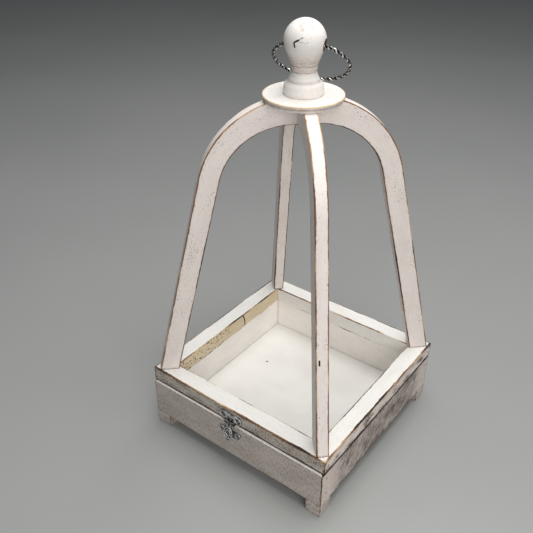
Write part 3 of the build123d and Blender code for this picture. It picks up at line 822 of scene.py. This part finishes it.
board_paint = painted_wood("rough_painted_board", BOARD_WHITE, 0.0009, 0.0, 2.6, saw_marks)
rail_paint = painted_wood("painted_rail", RAIL_WHITE, 0.0009, 0.05, 3.2, mottle, rail_marks)
leg_paint = painted_wood("painted_leg", LEG_WHITE, 0.0009, 0.1, 2.6, marks=leg_marks)
turning_paint = painted_wood("painted_turning", TURNING_WHITE, 0.0008, 0.4, 1.0, marks=turning_marks)
floor_paint = panel_paint("painted_panel")
ring_metal = metal("ring_wire", (0.80, 0.80, 0.77), (0.020, 0.019, 0.018), 0.18, "recess", 0.9)
relief_metal = metal("latch_relief", (0.92, 0.92, 0.91), (0.035, 0.035, 0.035), 0.34, "recess", 0.35)
latch_metal = metal("latch_metal", (0.34, 0.34, 0.35), (0.022, 0.022, 0.024), 0.32, tarnish=0.9)
hinge_metal = metal("hinge_metal", (0.42, 0.40, 0.36), (0.10, 0.08, 0.06), 0.38)
steel = metal("fastener_steel", (0.36, 0.34, 0.31), (0.09, 0.06, 0.045), 0.42)


# The tray and the lid frame. The seam between them is worn dark, its near-black arrises also painted
# shadow of the gap under the lid, but the tray's front ledge keeps its paint.

tray_row = dict(body="tray", slot="rough_painted_board", material=board_paint)
wall_width = FRONT_WALL_HIGH.y - FRONT_WALL_LOW.y
tray_high = Vector((FRONT_WALL_HIGH.x, box_mm("back_wall")[1].y, SEAM))
# The outer top arris is rubbed to near-black wood, also painted shadow of the seam's gap.
tray_arrises = dict(roundness=(0.5, 0.4, 0.4, 1.0), rubbing=(0.2, 0.0, 0.0, 2.7),
                    tans=(0.3, 0.4, 0.5, -0.6))
front_arrises = ((0.5, 0.4, 0.4, 0.35), (0.2, 0.0, 0.0, -2.0))
mitred_frame(FRONT_WALL_LOW, tray_high, wall_width, lambda side: f"{side}_wall", 1,
             special={"front": front_arrises}, **tray_arrises, **tray_row)
for corner in ("front_left", "front_right", "back_left", "back_right"):
    foot(f"{corner}_foot", **tray_row)

lid_row = dict(body="lid", slot="painted_rail", material=rail_paint)
rail_width = FRONT_RAIL_HIGH.y - FRONT_RAIL_LOW.y
lid_low = Vector((FRONT_RAIL_LOW.x, FRONT_RAIL_LOW.y, SEAM))
lid_high = Vector((FRONT_RAIL_HIGH.x, LID_BACK, LID_TOP))
# The outer bottom arris is rubbed to near-black wood, also painted shadow of the seam's gap.
lid_arrises = dict(roundness=(1.2, 0.4, 0.6, 0.75), rubbing=(2.7, 0.0, 0.55, 1.0),
                   tans=(-0.6, 0.3, 0.45, 0.22))
mitred_frame(lid_low, lid_high, rail_width, lambda side: f"lid_{side}_rail", 11,
             special={}, bare_side="left", **lid_arrises, **lid_row)

leg_row = dict(body="lid", slot="painted_leg", material=leg_paint)
leg_turns = (("front_left", 225), ("front_right", 315), ("back_left", 135), ("back_right", 45))
for seed, (corner, turn) in enumerate(leg_turns):
    leg(f"{corner}_leg", math.radians(turn), seed + 3, **leg_row)


# The cap and the finial

turning_row = dict(body="lid", slot="painted_turning", material=turning_paint)


def ply(node, ragged, rounding, rubbing):
    """One round ply of the cap, whose top rim is worn. Dirt darkens the joint between the plies."""
    low, high = box_mm(node)
    radius = (high.x - low.x) / 2
    top, bottom = high.z, low.z
    profile = [(0, bottom), (radius * 0.5, bottom), (radius - 3, bottom), (radius - 1.2, bottom)]
    profile += arc(radius - rounding, bottom + rounding, rounding, -90, 0, 4)
    profile += arc(radius - rounding, top - rounding, rounding, 0, 90, 4)
    profile += [(radius - 1.6, top), (radius - 3, top), (radius * 0.75, top), (radius * 0.5, top), (0, top)]

    def grime_and_shade_of(r, z):
        if r > radius - 1.5 and abs(z - CAP_JOINT) < 0.7:
            return 0.9
        return 0.12 if r < radius * 0.51 and z > bottom else 0.0

    return flatten_shading(turned(
        f"{node}_ply", profile, 200,
        lambda r, z: math.hypot(radius - 0.2 - r, top - 0.2 - z) if z > (top + bottom) / 2 else 2.0,
        lambda r, z: ragged if r > radius - 1.5 else 0.0,
        grime_and_shade_of, rubbing, replaced=[node], **turning_row))


ply("lower_cap_disc", ragged=1.9, rounding=0.7, rubbing=-3.0)
ply("upper_cap_disc", ragged=0.15, rounding=0.6, rubbing=0.45)


def finial():
    """Collar, shoulder band, cove, a bead between two grooves, cup and ball, with the ring's hole. The
    outline is its radius at each height over the cap."""
    outline = [
        (16.6, 0.0), (16.6, 0.6), (16.5, 3.0), (16.2, 5.6), (15.8, 7.6), (15.3, 8.6), (14.5, 9.4),
        (13.5, 10.1), (12.95, 10.6), (12.85, 11.2), (12.5, 12.2), (11.9, 13.3), (11.4, 14.2),
        (10.9, 15.4), (10.5, 16.6), (10.3, 17.6), (10.1, 18.0), (9.7, 18.35), (10.1, 18.8),
        (10.35, 19.6), (10.5, 20.6), (10.6, 21.8), (10.5, 22.7), (10.2, 23.2), (10.7, 23.7),
        (11.2, 24.6), (12.0, 26.6), (12.8, 28.6), (13.6, 30.8), (14.25, 32.4),
    ]
    profile = [(0, CAP_TOP), (8, CAP_TOP)] + [(r, CAP_TOP + z) for r, z in outline]
    profile += arc(0, BALL_Z, BALL_RADIUS, -26, 90, 30)
    foot_joint, low_groove, high_groove = 0.0, 18.35, 23.2
    band, cup = 11.4, 26

    # Darker in the grooves and in a brownish band at the shoulder; painted shade under the ball's cup and
    # over the bead below it.
    def grime_and_shade_of(r, z):
        z -= CAP_TOP
        grooves = max(0.0, 1 - min(abs(z - g) for g in (foot_joint, low_groove, high_groove)) / 0.9)
        under_ball = max(0.0, 1 - abs(z - cup) / 9) * 0.75
        bead = 0.55 if low_groove + 0.05 < z < high_groove else 0.0
        shoulder = max(0.0, 1 - abs(z - band) / 1.5) * 0.6
        return max(grooves, under_ball, bead, shoulder)

    shape = turned("finial_turning", profile, 128, lambda r, z: 3.0, lambda r, z: 0.06 if r > 1 else 0.0,
                   grime_and_shade_of, 0.0, replaced=["finial"], **turning_row)
    hole = bpy.data.meshes.new("hole_cutter")
    cutter = bmesh.new()
    bmesh.ops.create_cone(cutter, cap_ends=True, segments=40, radius1=RING_HOLE_RADIUS * MM,
                          radius2=RING_HOLE_RADIUS * MM, depth=4 * BALL_RADIUS * MM)
    cutter.to_mesh(hole)
    cutter.free()
    tool = add_object("hole_cutter", hole)
    turn = ring_axis.to_track_quat("Z", "Y").to_matrix().to_4x4()
    tool.matrix_world = Matrix.Translation(ring_pivot) @ turn
    cut = shape.modifiers.new("ring_hole", "BOOLEAN")
    cut.object = tool
    cut.solver = "EXACT"
    bpy.context.view_layer.update()
    evaluated = shape.evaluated_get(bpy.context.evaluated_depsgraph_get())
    mesh = bpy.data.meshes.new_from_object(evaluated)
    shape.modifiers.clear()
    shape.data = mesh
    bpy.data.objects.remove(tool)
    return shape


finial()


# The ring


def carrying_ring():
    """Two strands twisted together into a ring."""
    outward = (ring_centre - ring_pivot).normalized()
    normal = ring_axis.cross(outward)
    offset = RING_WIRE - STRAND
    stations = TWISTS * SECTIONS_PER_TWIST
    points, faces, recess = [], [], []
    for side in (0, math.pi):
        base = len(points)
        for i in range(stations):
            a = 2 * math.pi * i / stations
            radial = outward * math.cos(a) + ring_axis * math.sin(a)
            middle = ring_centre / MM + radial * RING_RADIUS
            twist = TWISTS * a + side
            lean = radial * math.cos(twist) + normal * math.sin(twist)
            across = normal * math.cos(twist) - radial * math.sin(twist)
            for b in ROUND:
                spot = middle + lean * (offset + STRAND * math.cos(b)) + across * STRAND * math.sin(b)
                points.append(spot)
                recess.append(1 - (spot - middle).length / RING_WIRE + (0.35 if side else 0.0))
        faces += shifted(loft_faces(stations, len(ROUND), closed=True), base)
    return piece("carrying_ring_strands", points, faces, {"recess": recess}, "ring", "ring_wire",
                 ["carrying_ring"], ring_metal, wear_depth=0.0)


carrying_ring()


# The latch's stamped ornament

LATCH_X = sum(corner.x for corner in box_mm("latch_hasp")) / 2
PLATE_THICK = 1.0
BARREL_RADIUS = 1.5
HASP_AJAR = math.radians(10)
NAIL_RIM = 3.5
hasp_pivot = Vector(joints["hasp_swing"]["pos_m"]) / MM


def scroll(x, z, outer, inner, start, turns, steps=22):
    """A spiral on the plate, from an outer radius to an inner one, as x and z. turns may be negative."""
    path = []
    for i in range(steps + 1):
        share = i / steps
        a = math.radians(start) + 2 * math.pi * turns * share
        r = outer + (inner - outer) * share
        path.append((x + r * math.cos(a), z + r * math.sin(a)))
    return path


def oval(x, z, rx, rz, steps=28):
    """A closed oval on the plate."""
    turns = [2 * math.pi * i / steps for i in range(steps + 1)]
    return [(x + rx * math.cos(a), z + rz * math.sin(a)) for a in turns]


def petals(x, z, reach, count, size, start=0.0):
    """Beads set in a round, each as x, z, its radius along the spoke, across it, and its angle."""
    angles = [start + 2 * math.pi * i / count for i in range(count)]
    return [(x + reach * math.cos(a), z + reach * math.sin(a), *size, a) for a in angles]


def ornament(name, body, ribs, beads, surface, origin_z, swing=0.0):
    """Round ribs and domed beads, half sunk in a plate's front. Paths are x and z from the latch's middle
    and origin_z, and swing turns the whole about the hasp's pin."""
    points, faces, recess = [], [], []

    def add(x, out, z):
        spot = Vector((LATCH_X + x, surface - out, origin_z + z))
        if swing:
            spot = hasp_pivot + Matrix.Rotation(-swing, 3, "X") @ (spot - hasp_pivot)
        points.append(spot)

    for path, thick in ribs:
        base = len(points)
        for i, (x, z) in enumerate(path):
            ahead, behind = path[min(i + 1, len(path) - 1)], path[max(i - 1, 0)]
            run = Vector((ahead[0] - behind[0], ahead[1] - behind[1])).normalized()
            closed = math.dist(path[0], path[-1]) < 0.01
            taper = 1.0 if closed else min(1.0, 0.45 + min(i, len(path) - 1 - i) / 4)
            for b in ROUND:
                side = thick * taper * math.cos(b)
                add(x - run.y * side, thick * taper * math.sin(b), z + run.x * side)
                recess.append(0.55 - 0.75 * math.sin(b))
        faces += shifted(loft_faces(len(path), len(ROUND)), base)
    rows = 5
    for x, z, rx, rz, turn in beads:
        base = len(points)
        for i in range(rows + 1):
            rise = math.pi / 2 * i / rows - 0.25 * (1 - i / rows)
            for b in ROUND:
                u = rx * math.cos(rise) * math.cos(b)
                v = rz * math.cos(rise) * math.sin(b)
                shift_x = u * math.cos(turn) - v * math.sin(turn)
                shift_z = u * math.sin(turn) + v * math.cos(turn)
                add(x + shift_x, 0.7 * min(rx, rz) * math.sin(rise), z + shift_z)
                recess.append(0.75 - 0.75 * math.sin(rise))
        faces += shifted(loft_faces(rows + 1, len(ROUND)), base)
    return piece(name, points, faces, {"recess": recess}, body, "latch_metal", [], relief_metal,
                 wear_depth=0.0)


def latch_ornament():
    """Rims, scrolls and petals on the top plate, the hasp and the catch plate."""
    top_ribs = [(oval(x, 7.3, NAIL_RIM, NAIL_RIM), 0.55) for x in (-8.6, 8.6)]
    top_ribs += [([(x, 10.7 - 0.7 * math.cos(x / 1.9)) for x in range(-8, 9)], 0.55)]
    top_ribs += [(scroll(3.2 * side, 9.0, 2.1, 0.5, 90 - 110 * side, 1.3 * side), 0.42) for side in (-1, 1)]
    top_ribs += [([(x, 5.8), (x, 4.6), (x, 3.4), (x, 2.2)], 0.4) for x in (-4.9, -3.6, 3.6, 4.9)]
    top_beads = petals(0, 8.0, 1.35, 6, (0.95, 0.55)) + [(0, 8.0, 0.6, 0.6, 0), (0, 4.6, 1.0, 0.7, 1.57)]
    top_beads += [(x, 7.3, 1.0, 1.0, 0) for x in (-5.0, 5.0)]
    ornament("latch_top_ornament", "lid", top_ribs, top_beads, FRONT_RAIL_LOW.y - PLATE_THICK, SEAM)

    drop = -10.6
    hasp_ribs = [(oval(0, drop, 4.85, 5.9, 36), 0.42), (oval(0, drop, 2.55, 2.9), 0.4)]
    hasp_ribs += [([(x, -0.6), (x, -2.6), (x * 1.05, -4.2), (x * 1.12, -5.4)], 0.45) for x in (-1.9, 1.9)]
    hasp_beads = petals(0, drop, 3.75, 8, (0.75, 0.85), math.pi / 8)
    hasp_beads += [(-1.1, -16.2, 0.55, 1.0, -0.4), (1.1, -16.2, 0.55, 1.0, 0.4), (0, -17.0, 0.35, 0.9, 0)]
    hasp_front = hasp_pivot.y - BARREL_RADIUS
    ornament("hasp_ornament", "hasp", hasp_ribs, hasp_beads, hasp_front, hasp_pivot.z, HASP_AJAR)

    catch_ribs = [(oval(x, -10.2, 3.0, 3.4), 0.45) for x in (-9.4, 9.4)]
    catch_beads = [bead for x in (-9.4, 9.4) for bead in petals(x, -10.2, 2.0, 6, (0.5, 0.4))]
    ornament("latch_catch_ornament", "tray", catch_ribs, catch_beads, FRONT_WALL_LOW.y - PLATE_THICK, SEAM)


latch_ornament()


# Finishes of the CAD nodes that stay


def dress(node, material, bevel=0.0):
    """Give a CAD node its finish, with its edges eased."""
    thing = frame["nodes"][node]
    thing.data.materials.clear()
    thing.data.materials.append(material)
    if bevel:
        eased = thing.modifiers.new("eased", "BEVEL")
        eased.width = bevel * MM
        eased.segments = 2
        eased.limit_method = "ANGLE"
        eased.angle_limit = math.radians(40)


dress("floor_panel", floor_paint, 0.3)
for side in ("left", "right"):
    dress(f"{side}_hinge_tray_leaf", hinge_metal, 0.2)
    dress(f"{side}_hinge_lid_leaf", hinge_metal, 0.2)
    dress(f"{side}_hinge_pin", hinge_metal, 0.12)
for node in ("hinge_tray_screws", "hinge_lid_screws"):
    dress(node, hinge_metal, 0.12)
for node in ("latch_catch_plate", "latch_top_plate", "latch_hasp", "latch_pin"):
    dress(node, latch_metal, 0.15)
for node in ("latch_plate_nails", "catch_nails"):
    dress(node, latch_metal)
for node in ("foot_brads", "tray_corner_brads", "lid_corner_brads", "leg_screws", "cap_disc_brads"):
    dress(node, steel)


# Stage, lights and camera


def stage():
    """A plain pale floor."""
    s = Shader("stage_floor")
    place = s.object_place()
    cloud = s.noise(place, 3.0, detail=3)
    colour = s.mix(cloud, (0.30, 0.31, 0.305), (0.36, 0.365, 0.36))
    material = s.finish(colour, 0.42)
    mesh = bpy.data.meshes.new("stage_floor")
    reach = 5.0
    rim = [(-reach, -reach, 0), (reach, -reach, 0), (reach, reach, 0), (-reach, reach, 0)]
    mesh.from_pydata(rim, [], [(0, 1, 2, 3)])
    mesh.materials.append(material)
    add_object("stage_floor", mesh)


def aim(thing, place, target):
    """Put a light or a camera at a place, facing a point."""
    thing.location = place
    thing.rotation_euler = (Vector(target) - Vector(place)).to_track_quat("-Z", "Y").to_euler()


def area_light(name, place, target, size, power, colour):
    """A soft square light that faces a point."""
    lamp = bpy.data.lights.new(name, "AREA")
    lamp.size = size
    lamp.energy = power
    lamp.color = colour
    aim(add_object(name, lamp), place, target)


def camera(place, target, lens):
    """The camera, which sees the front and the right side from above."""
    data = bpy.data.cameras.new("camera")
    data.lens = lens
    data.sensor_width = 36
    data.clip_start = 0.01
    thing = add_object("camera", data)
    aim(thing, place, target)
    bpy.context.scene.camera = thing


stage()
middle = (0, 0, 0.15)
area_light("overhead", (0.1, 0.15, 1.45), middle, 1.1, 21.5, (1.0, 0.99, 0.975))
area_light("front_fill", (0.85, -0.75, 0.65), middle, 0.8, 8.0, (1.0, 0.955, 0.925))
world = bpy.data.worlds.new("studio")
bpy.context.scene.world = world
world.use_nodes = True
sky = world.node_tree.nodes["Background"]
sky.inputs["Color"].default_value = (0.86, 0.93, 1.0, 1)
sky.inputs["Strength"].default_value = 0.09
bpy.context.scene.view_settings.view_transform = "Standard"
camera((0.29996, -0.44149, 0.5210), (0.01534, -0.06773, 0.21622), 46.65)
